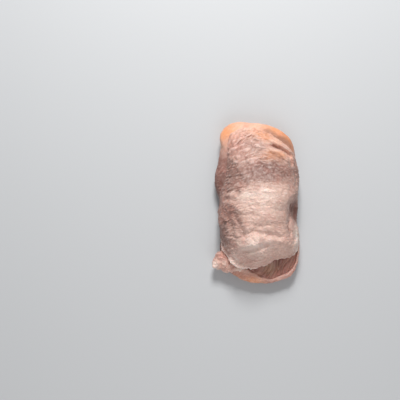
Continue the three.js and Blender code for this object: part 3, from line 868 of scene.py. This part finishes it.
def makeCorner():
    c = corner
    across = np.linspace(0, 2 * math.pi, c["around"], endpoint=False)
    down = np.linspace(0, math.pi, c["rings"] + 2)[1:-1]
    across, down = np.meshgrid(across, down)
    flat = np.array([np.sin(down) * np.cos(across), np.sin(down) * np.sin(across), np.cos(down)])
    unit = np.concatenate([flat.reshape(3, -1).T, [(0, 0, 1), (0, 0, -1)]])
    points = unit * c["half"]
    ridge = np.abs(layeredNoise(points, c["crumpleCell"], 601, 2))
    lumps = layeredNoise(points, 9, 602, 2)
    normals = unit / c["half"]
    normals /= np.linalg.norm(normals, axis=-1, keepdims=True)
    height, depth, tops = skinRelief(points, (0.35, 0.5, 0.25))
    bulb = bump(np.linalg.norm(unit - c["bulb"], axis=-1), 0.55)
    flap = bump(np.linalg.norm(unit - c["flap"], axis=-1), 0.5)
    crumpled = c["crumple"] * (1.1 * lumps + 1.6 * np.minimum(ridge, 0.5) - 0.5)
    swollen = c["swell"] * (bulb + 2 * flap)
    points = points + normals * (crumpled + swollen + height)[..., None]
    angle = math.radians(c["turn"])
    spin = np.array([[math.cos(angle), math.sin(angle)], [-math.sin(angle), math.cos(angle)]])
    points[:, :2] = points[:, :2] @ spin
    points += c["centre"]
    count = c["around"] * c["rings"]
    quads = ringQuads(c["rings"], c["around"])[:, ::-1]
    first = np.arange(c["around"])
    last = first + count - c["around"]
    top = np.stack([first, np.roll(first, -1), np.full(len(first), count)], axis=-1)
    end = np.stack([np.roll(last, -1), last, np.full(len(last), count + 1)], axis=-1)
    folded = smoothStep(0.1, 0, ridge)
    upper = smoothStep(-46, -39, points[:, 1])
    # tones: cream all over, more on the raised lumps and the bulb as a painted highlight; second layer:
    # brown painted shade over its upper part, which lies under the thigh's edge, with more red there;
    # details: painted shade in valleys and folds, and paler tops, partly a painted highlight
    tints = {
        "tones": stackTones(0.05 + 0 * lumps, 0 * lumps, 0.3 + 0.5 * lumps + 0.7 * bulb),
        "redAndShade": stackTones(0.2 * upper, 0.3 - 0.4 * lumps + 0.35 * upper, 0 * lumps),
        "details": stackTones(np.maximum(depth, 0.5 * folded), tops, 0 * depth),
    }
    return putMesh("cornerSkin", points, quads, np.concatenate([top, end]), tints)


# Meat: shape


meat = {
    "cells": (150, 220),
    "inset": 2.5,
    "fibreTurn": 68,  # degrees from across the leg
    "fibreCell": 1.5,
    "fibreLength": 9,
    "fibre": 0.3,
    "bundleCell": 5.0,
    "bundle": 0.8,
}


# Relief of meat: muscle bundles and finer fibres, both noise drawn out along the fibres.
def meatRelief(points):
    m = meat
    angle = math.radians(m["fibreTurn"])
    bend = 3.0 * layeredNoise(points, 14, 701, 2)
    along = points[..., 0] * math.cos(angle) + points[..., 1] * math.sin(angle) + bend
    over = points[..., 1] * math.cos(angle) - points[..., 0] * math.sin(angle) + bend
    drawn = np.stack([along * m["fibreCell"] / m["fibreLength"], over, points[..., 2]], axis=-1)
    fibres = layeredNoise(drawn, m["fibreCell"], 702, 3)
    bundles = layeredNoise(drawn * (0.8, 1, 1), m["bundleCell"], 703, 2)
    seams = 1 - smoothStep(0, 0.16, np.abs(bundles))
    height = m["fibre"] * fibres + m["bundle"] * (bundles - 0.9 * seams)
    return height, fibres, seams


# A closed pad of meat inside a half's skin. Short says how far it stays back from the skin's edge.
def makeMeat(name, pad, shortAt, insetAt):
    cells = meat["cells"]
    out, turn = discCoordinates(cells)
    upper = math.pi - (math.pi / 2) * out**1.2
    lower = (math.pi / 2) * out**1.2
    sides = []
    for climb in (upper, lower):
        points = padPoints(pad, turn, climb, insetAt(turn))
        ease = shortAt(turn) * smoothStep(0.3, 1.0, out)
        points[..., 0] -= np.cos(turn) * ease
        points[..., 1] -= np.sin(turn) * ease
        sides.append(points)
    top, under = sides
    normals = gridNormals(top)
    height, fibres, seams = meatRelief(top)
    top = top + normals * (height * (1 - smoothStep(0.97, 1, out)))[..., None]
    x, y = top[..., 0], top[..., 1]
    tan = 0.9 * spot(x, y, (10, -49), (7, 6)) + 0.4 * smoothStep(0.1, 0.6, layeredNoise(top, 8, 711))
    purple = spot(x, y, (25.5, -44), (6, 10))
    # hollow: painted shade in the dark hollow at the cut end
    hollow = spot(x, y, (16.5, -43.6), (6, 4.4))
    tones = stackTones(tan, seams, purple)
    # details: painted shade between the fibres and in the hollow, and a painted highlight on the fibres
    details = stackTones(0.6 * smoothStep(0.1, -0.5, fibres) + hollow, smoothStep(0, 0.6, fibres), 0 * x)
    border = borderOf(cells)
    rings = [under.reshape(-1, 3)[border]]
    # the hidden underside closes over its own rings towards its middle
    for share in np.linspace(0.9, 0.1, 9):
        climb = (math.pi / 2) * share
        rings.append(padPoints(pad, turn.ravel()[border], climb, insetAt(turn.ravel()[border])))
    hidden = sum(len(ring) for ring in rings) + 1
    tints = {
        "tones": np.concatenate([tones, np.tile((0.1, 0.0, 0.1), (hidden, 1))]),
        "details": np.concatenate([details, np.tile((0.3, 0.2, 0.0), (hidden, 1))]),
    }
    return discMesh(name, top, rings, np.mean(rings[-1], axis=0), 1, tints)


# Materials


def linear(hexColour):
    parts = [int(hexColour[k : k + 2], 16) / 255 for k in (1, 3, 5)]
    return tuple(c / 12.92 if c <= 0.04045 else ((c + 0.055) / 1.055) ** 2.4 for c in parts) + (1.0,)


# Adds a node with its settings. An input given as a socket is linked, any other is set.
def addNode(tree, kind, inputs, **settings):
    node = tree.nodes.new(kind)
    for key, value in settings.items():
        setattr(node, key, value)
    for key, value in inputs.items():
        if isinstance(value, bpy.types.NodeSocket):
            tree.links.new(value, node.inputs[key])
        else:
            node.inputs[key].default_value = value
    return node


# Mix of two colours by a factor; in Blender's mix node, inputs 6 and 7 and output 2 are the colours.
def mixColours(tree, factor, first, second, mode="MIX"):
    inputs = {0: factor, 6: first, 7: second}
    return addNode(tree, "ShaderNodeMix", inputs, data_type="RGBA", blend_type=mode).outputs[2]


def mathNode(tree, operation, first, second=0.0, third=0.0):
    inputs = {0: first, 1: second, 2: third}
    return addNode(tree, "ShaderNodeMath", inputs, operation=operation).outputs[0]


# A node group with named inputs, all numbers, and one or more named outputs, all numbers.
def makeGroup(name, inputs, outputs):
    group = bpy.data.node_groups.new(name, "ShaderNodeTree")
    for socketName, value in inputs.items():
        socket = group.interface.new_socket(socketName, in_out="INPUT", socket_type="NodeSocketFloat")
        socket.default_value = value
    for socketName in outputs:
        group.interface.new_socket(socketName, in_out="OUTPUT", socket_type="NodeSocketFloat")
    return group, group.nodes.new("NodeGroupInput"), group.nodes.new("NodeGroupOutput")


# Noise on the Object coordinates with a feature size in millimetres.
def noiseBySize(tree, size, detail):
    place = addNode(tree, "ShaderNodeTexCoord", {}).outputs["Object"]
    scale = mathNode(tree, "DIVIDE", 1 / metre, size)
    inputs = {"Vector": place, "Scale": scale, "Detail": detail}
    return addNode(tree, "ShaderNodeTexNoise", inputs).outputs["Fac"]


# Soft patches: noise pulled apart between two levels.
def softPatchesGroup():
    group, given, result = makeGroup("softPatches", {"Size": 5, "Low": 0.45, "High": 0.65}, ["Mask"])
    noise = noiseBySize(group, given.outputs["Size"], 3.0)
    ranges = {"Value": noise, "From Min": given.outputs["Low"], "From Max": given.outputs["High"]}
    mask = addNode(group, "ShaderNodeMapRange", ranges, interpolation_type="SMOOTHSTEP")
    group.links.new(mask.outputs["Result"], result.inputs["Mask"])
    return group


# Moisture: roughness and coat that change from patch to patch.
def wetFilmGroup():
    group, given, result = makeGroup(
        "wetFilm", {"Size": 6, "Roughness": 0.45, "Spread": 0.3, "Wetness": 0.4}, ["Roughness", "Coat"]
    )
    noise = noiseBySize(group, given.outputs["Size"], 4.0)
    offset = mathNode(group, "SUBTRACT", noise, 0.5)
    rough = mathNode(group, "MULTIPLY_ADD", offset, given.outputs["Spread"], given.outputs["Roughness"])
    coat = mathNode(group, "MULTIPLY", noise, mathNode(group, "MULTIPLY", given.outputs["Wetness"], 2.0))
    group.links.new(rough, result.inputs["Roughness"])
    group.links.new(coat, result.inputs["Coat"])
    return group


# Grain too fine for the mesh, as a height.
def fineGrainGroup():
    group, given, result = makeGroup("fineGrain", {"Size": 0.7, "Depth": 1.0}, ["Height"])
    noise = noiseBySize(group, given.outputs["Size"], 3.0)
    height = mathNode(group, "MULTIPLY", noise, given.outputs["Depth"])
    group.links.new(height, result.inputs["Height"])
    return group


effects = {"patches": softPatchesGroup(), "wet": wetFilmGroup(), "grain": fineGrainGroup()}


def useGroup(tree, effect, values):
    node = addNode(tree, "ShaderNodeGroup", {}, node_tree=effects[effect])
    for key, value in values.items():
        node.inputs[key].default_value = value
    return node.outputs


# The three channels of a colour layer of the mesh.
def layerParts(tree, layer):
    colour = addNode(tree, "ShaderNodeAttribute", {}, attribute_name=layer).outputs["Color"]
    return addNode(tree, "ShaderNodeSeparateColor", {"Color": colour}).outputs


skinLook = {
    "base": "#e2beb0",
    "orange": "#eea374",
    # mauve, also used as painted shade
    "mauveAndShade": "#8e6b60",
    # cream, also used as painted light
    "creamAndLight": "#ffeee3",
    # brown: the colour of painted shade
    "brownShade": "#6a4238",
    "red": "#c97f6e",
    # painted shade in valleys and creases
    "grooveShade": "#926d66",
    # paler ridge and bump tops, partly a painted highlight
    "top": "#f6dfd9",
    # paler free edge, partly painted light
    "edge": "#ffeee6",
    "blotch": "#cc8f81",
    "patches": {"Size": 7.0, "Low": 0.48, "High": 0.70},
    "wet": {"Size": 5.0, "Roughness": 0.54, "Spread": 0.3, "Wetness": 0.12},
    "grain": {"Size": 0.8, "Depth": 1.0},
}
meatLook = {
    "base": "#a2645a",
    "tan": "#b08a70",
    "seam": "#d0a690",
    "purple": "#c08a7c",
    # painted shade between the fibres and in the hollow
    "grooveShade": "#5f3027",
    # faint blotches, and a painted highlight on the fibres
    "ridge": "#b87464",
    "patches": {"Size": 4.0, "Low": 0.45, "High": 0.70},
    "wet": {"Size": 4.0, "Roughness": 0.38, "Spread": 0.3, "Wetness": 0.35},
    "grain": {"Size": 0.5, "Depth": 1.0},
}


# Finishes a material whose colour is made: subsurface light, moisture and fine grain.
def finishLook(tree, colour, look, subsurface, grainStrength):
    wet = useGroup(tree, "wet", look["wet"])
    height = useGroup(tree, "grain", look["grain"])["Height"]
    bumpInputs = {"Height": height, "Strength": grainStrength, "Distance": 0.0006}
    shader = tree.nodes["Principled BSDF"]
    tree.links.new(colour, shader.inputs["Base Color"])
    tree.links.new(wet["Roughness"], shader.inputs["Roughness"])
    tree.links.new(wet["Coat"], shader.inputs["Coat Weight"])
    tree.links.new(addNode(tree, "ShaderNodeBump", bumpInputs).outputs[0], shader.inputs["Normal"])
    shader.inputs["Coat Roughness"].default_value = 0.22
    shader.inputs["IOR"].default_value = 1.4
    shader.inputs["Subsurface Weight"].default_value = subsurface
    shader.inputs["Subsurface Radius"].default_value = (1.0, 0.42, 0.28)
    shader.inputs["Subsurface Scale"].default_value = 0.0011


# Skin: base pink to mauve (partly painted shade), orange and cream (partly painted light) by its
# tones, and to red and brown painted shade by its second layer, with faint blotches, painted shade in
# the grooves, paler bumps that are partly a painted highlight, and a paler free edge that is partly
# painted light.
def makeSkinMaterial(look):
    material = bpy.data.materials.new("rawSkin")
    material.use_nodes = True
    tree = material.node_tree
    tones, details = layerParts(tree, "tones"), layerParts(tree, "details")
    # second layer: brown painted shade in its red channel, red tone in its green one
    redAndShade = layerParts(tree, "redAndShade")
    blotch = mathNode(tree, "MULTIPLY", useGroup(tree, "patches", look["patches"])["Mask"], 0.28)
    # cream, partly painted light
    colour = mixColours(tree, tones["Blue"], linear(look["base"]), linear(look["creamAndLight"]))
    colour = mixColours(tree, tones["Red"], colour, linear(look["orange"]))
    # mauve, partly painted shade
    colour = mixColours(tree, tones["Green"], colour, linear(look["mauveAndShade"]))
    colour = mixColours(tree, redAndShade["Green"], colour, linear(look["red"]))
    # brown painted shade
    colour = mixColours(tree, redAndShade["Red"], colour, linear(look["brownShade"]))
    colour = mixColours(tree, blotch, colour, linear(look["blotch"]))
    # painted shade in valleys and creases
    grooveShade = mathNode(tree, "MULTIPLY", details["Red"], 0.5)
    colour = mixColours(tree, grooveShade, colour, linear(look["grooveShade"]))
    # paler ridge and bump tops, partly a painted highlight
    top = mathNode(tree, "MULTIPLY", details["Green"], 0.42)
    colour = mixColours(tree, top, colour, linear(look["top"]))
    # paler free edge, partly painted light
    edge = mathNode(tree, "MULTIPLY", details["Blue"], 0.85)
    colour = mixColours(tree, edge, colour, linear(look["edge"]))
    finishLook(tree, colour, look, 0.13, 0.4)
    return material


# Meat: dark red-brown with tan and purple areas, pale seams between the bundles, painted shade between
# the fibres and in the hollow at the cut end, and a painted highlight on the fibres.
def makeMeatMaterial(look):
    material = bpy.data.materials.new("rawMeat")
    material.use_nodes = True
    tree = material.node_tree
    tones, details = layerParts(tree, "tones"), layerParts(tree, "details")
    blotch = mathNode(tree, "MULTIPLY", useGroup(tree, "patches", look["patches"])["Mask"], 0.4)
    colour = mixColours(tree, tones["Red"], linear(look["base"]), linear(look["tan"]))
    colour = mixColours(tree, tones["Blue"], colour, linear(look["purple"]))
    colour = mixColours(tree, blotch, colour, linear(look["ridge"]))
    grooveShade = mathNode(tree, "MULTIPLY", details["Red"], 0.63)
    colour = mixColours(tree, grooveShade, colour, linear(look["grooveShade"]))
    # painted highlight on the fibres
    ridge = mathNode(tree, "MULTIPLY", details["Green"], 0.3)
    colour = mixColours(tree, ridge, colour, linear(look["ridge"]))
    seam = mathNode(tree, "MULTIPLY", tones["Green"], 0.35)
    colour = mixColours(tree, seam, colour, linear(look["seam"]))
    finishLook(tree, colour, look, 0.2, 0.4)
    return material


# Assembly


def place(piece, node, material):
    piece.data.materials.append(material)
    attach(piece, "root")
    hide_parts(node)


makeCamera(camera)
makeStudio(lights)
print("stage: camera, lights and table")

skinMaterial, meatMaterial = makeSkinMaterial(skinLook), makeMeatMaterial(meatLook)
print("stage: materials")

upperSkin = makeSkin(
    "thighSkin", thigh, thighSkin, thighSkinStop, True, thighStrengths, thighTones, 21
)
lowerSkin = makeSkin(
    "drumstickSkin", drumstick, drumstickSkin, drumstickSkinStop, False, drumstickStrengths,
    drumstickTones, 31,
)
for piece in (upperSkin, lowerSkin, makeCorner()):
    place(piece, "skin", skinMaterial)
print("stage: skin")


# The thigh's meat stays back from its skin's edge at the cut end, where the skin hangs free.
def thighShort(turn):
    return 2.8 * smoothStep(0.3, 0.8, -np.sin(turn)) + 0.6


# The drumstick's meat fills its rim at the cut end.
def drumstickInset(turn):
    return meat["inset"] - 1.7 * smoothStep(0.3, 0.8, -np.sin(turn))


upperMeat = makeMeat("thighMeat", thigh, thighShort, lambda turn: meat["inset"] + 0 * turn)
lowerMeat = makeMeat("drumstickMeat", drumstick, lambda turn: 0.3 + 0 * turn, drumstickInset)
for piece in (upperMeat, lowerMeat):
    place(piece, "meat", meatMaterial)
print("stage: meat")
